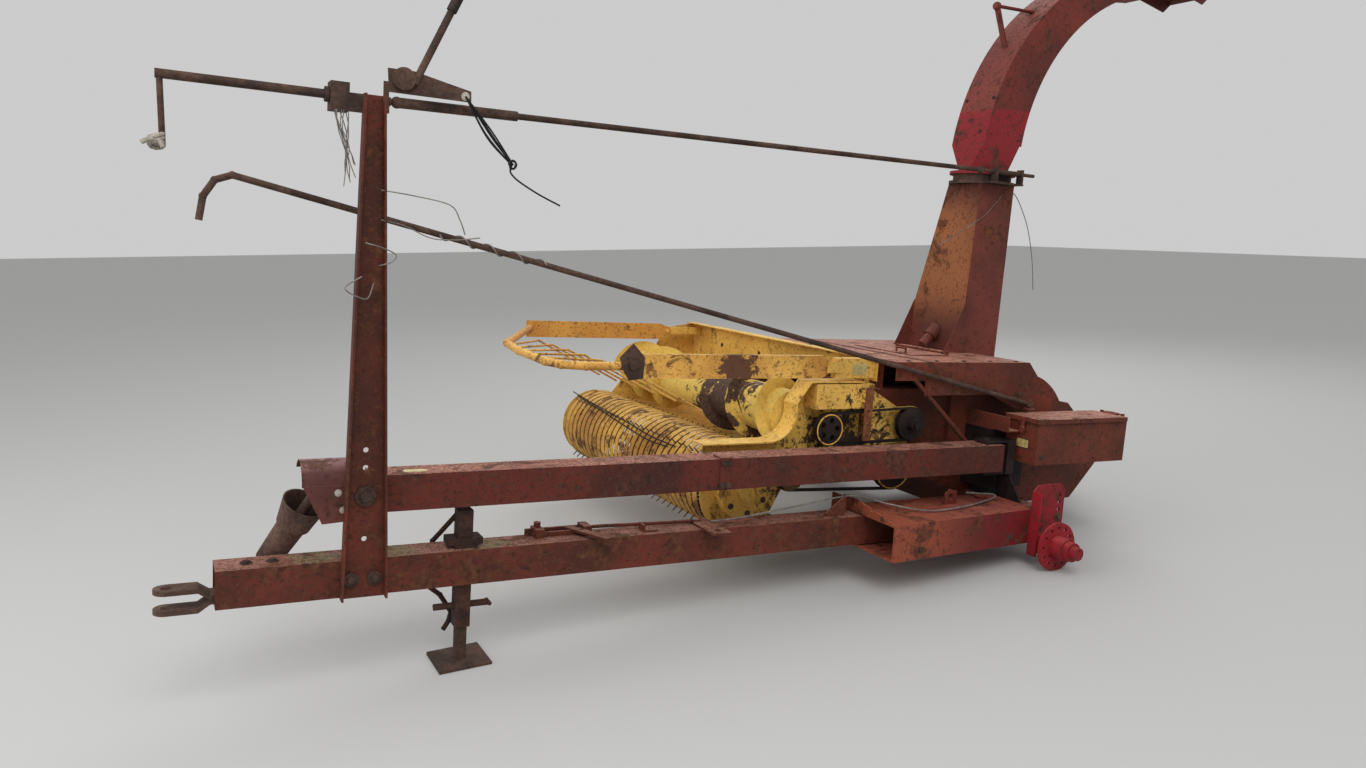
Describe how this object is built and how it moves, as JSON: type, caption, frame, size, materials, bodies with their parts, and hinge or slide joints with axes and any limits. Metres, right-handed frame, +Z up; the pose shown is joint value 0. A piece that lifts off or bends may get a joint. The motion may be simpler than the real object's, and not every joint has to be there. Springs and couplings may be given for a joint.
{
  "type": "pull-type forage harvester with windrow pickup",
  "caption": "Pull-type forage harvester: swinging tongue with hand crank post, cutter housing, curved spout and a yellow windrow pickup; its left wheel is off.",
  "frame": {"origin": "on the ground, midway along and across the machine's overall box", "axes": "+X to the hitch, the direction of travel; +Y to the machine's left; +Z up"},
  "size_m": [5.5516, 2.417, 2.9694],
  "materials": {
    "red_paint": "faded, rusted",
    "bright_red_paint": "semi-gloss, dusty",
    "yellow_paint": "faded, chalky",
    "bare_steel": "rusted",
    "dark_steel": "greasy, rusted",
    "tyre_rubber": "dusty"
  },
  "bodies": {
    "base": {"axle_beam": "red_paint", "left_bracket": "bright_red_paint", "right_bracket": "bright_red_paint", "tongue_pocket": "bright_red_paint", "gearbox": "dark_steel", "cutter_housing": "red_paint", "feed_housing": "red_paint", "rear_pan": "red_paint", "hood": "red_paint", "drive_sheave": "dark_steel", "tool_box": "red_paint", "chute": "red_paint", "spout_turntable": "bare_steel"},
    "cover": {"access_cover": "red_paint"},
    "box_lid": {"tool_box_lid": "red_paint"},
    "spout": {"spout": "red_paint"},
    "flap": {"spout_flap": "red_paint"},
    "tongue": {"tongue": "red_paint", "clevis": "bare_steel", "post": "red_paint", "driveline_beam": "red_paint", "driveline_shield": "red_paint", "spout_crank": "bare_steel", "rope_lever": "bare_steel", "jack_sleeve": "dark_steel"},
    "jack_leg": {"jack_leg": "bare_steel"},
    "crank_shaft": {"crank_shaft": "bare_steel"},
    "crank_sleeve": {"crank_sleeve": "bare_steel"},
    "shift_rod": {"shift_rod": "bare_steel"},
    "left_hub": {"left_hub": "bright_red_paint"},
    "right_wheel": {"right_rim": "yellow_paint", "right_tyre": "tyre_rubber"},
    "header": {"header_frame": "yellow_paint", "header_sides": "yellow_paint", "stripper_bands": "yellow_paint", "header_drive": "yellow_paint"},
    "auger": {"cross_auger": "yellow_paint"},
    "reel": {"pickup_reel": "bare_steel"},
    "wind_guard": {"wind_guard": "yellow_paint"},
    "lift_cylinder": {"lift_cylinder": "dark_steel"},
    "lift_rod": {"lift_rod": "bare_steel"}
  },
  "joints": [
    {"name": "tongue_swing", "type": "hinge", "parent": "base", "child": "tongue", "pos_m": [-0.70617, 0.7385, 0.19229], "axis": [-0.0698, 0, 0.9976], "range_deg": [0, 12]},
    {"name": "left_hub_spin", "type": "hinge", "parent": "base", "child": "left_hub", "pos_m": [-0.85092, 1.0865, 0.112], "axis": [0, 1, 0], "continuous": true},
    {"name": "right_wheel_spin", "type": "hinge", "parent": "base", "child": "right_wheel", "pos_m": [-0.8663, -1.1135, 0.332], "axis": [0, 1, 0], "continuous": true},
    {"name": "header_lift", "type": "hinge", "parent": "base", "child": "header", "pos_m": [-0.4062, 0.0865, 0.63329], "axis": [0, -1, 0], "range_deg": [-12, 6]},
    {"name": "auger_spin", "type": "hinge", "parent": "header", "child": "auger", "pos_m": [0.19503, -0.3135, 0.70841], "axis": [0, 1, 0], "continuous": true},
    {"name": "reel_spin", "type": "hinge", "parent": "header", "child": "reel", "pos_m": [0.47686, -0.3135, 0.40534], "axis": [0, 1, 0], "continuous": true},
    {"name": "wind_guard_lift", "type": "hinge", "parent": "header", "child": "wind_guard", "pos_m": [0.05408, 0.5515, 0.93213], "axis": [0, -1, 0], "range_deg": [0, 30]},
    {"name": "spout_turn", "type": "hinge", "parent": "base", "child": "spout", "pos_m": [-1.22193, 0.1195, 1.80524], "axis": [-0.0698, 0, 0.9976], "range_deg": [-110, 110]},
    {"name": "flap_tilt", "type": "hinge", "parent": "spout", "child": "flap", "pos_m": [-2.40264, 0.1195, 2.94967], "axis": [0, -1, 0], "range_deg": [-15, 40]},
    {"name": "tool_lid_open", "type": "hinge", "parent": "base", "child": "box_lid", "pos_m": [-1.528, 0.7865, 0.62001], "axis": [0, -1, 0], "range_deg": [0, 95]},
    {"name": "cover_open", "type": "hinge", "parent": "base", "child": "cover", "pos_m": [-0.8168, 0.1615, 0.91433], "axis": [0, -1, 0], "range_deg": [0, 100]},
    {"name": "jack_drop", "type": "slide", "parent": "tongue", "child": "jack_leg", "axis": [-0.0698, 0, 0.9976], "range_m": [-0.06, 0.06]},
    {"name": "shift_rod_follow", "type": "hinge", "parent": "base", "child": "shift_rod", "pos_m": [-1.07634, 0.6665, 0.68367], "axis": [-0.0698, 0, 0.9976], "range_deg": [0, 10.94]},
    {"name": "crank_shaft_follow", "type": "hinge", "parent": "base", "child": "crank_shaft", "pos_m": [-1.03096, 0.3035, 1.82662], "axis": [-0.0698, 0, 0.9976], "range_deg": [0, 11]},
    {"name": "crank_sleeve_follow", "type": "slide", "parent": "crank_shaft", "child": "crank_sleeve", "axis": [0.9872, 0.1537, 0.0415], "range_m": [0, 0.0789]},
    {"name": "lift_cylinder_follow", "type": "hinge", "parent": "base", "child": "lift_cylinder", "pos_m": [-0.81429, -0.3685, 0.30502], "axis": [0, -1, 0], "range_deg": [-1.54, 0.77]},
    {"name": "lift_rod_follow", "type": "slide", "parent": "lift_cylinder", "child": "lift_rod", "axis": [0.9668, 0, 0.2556], "range_m": [-0.0464, 0.0232]}
  ],
  "couplings": [
    {"joint": "shift_rod_follow", "follows": "tongue_swing", "ratio": 0.89382},
    {"joint": "crank_shaft_follow", "follows": "tongue_swing", "ratio": 0.89881},
    {"joint": "crank_sleeve_follow", "follows": "tongue_swing", "m_per_rad": 0.3692},
    {"joint": "lift_cylinder_follow", "follows": "header_lift", "ratio": 0.12598},
    {"joint": "lift_rod_follow", "follows": "header_lift", "m_per_rad": 0.21707}
  ]
}
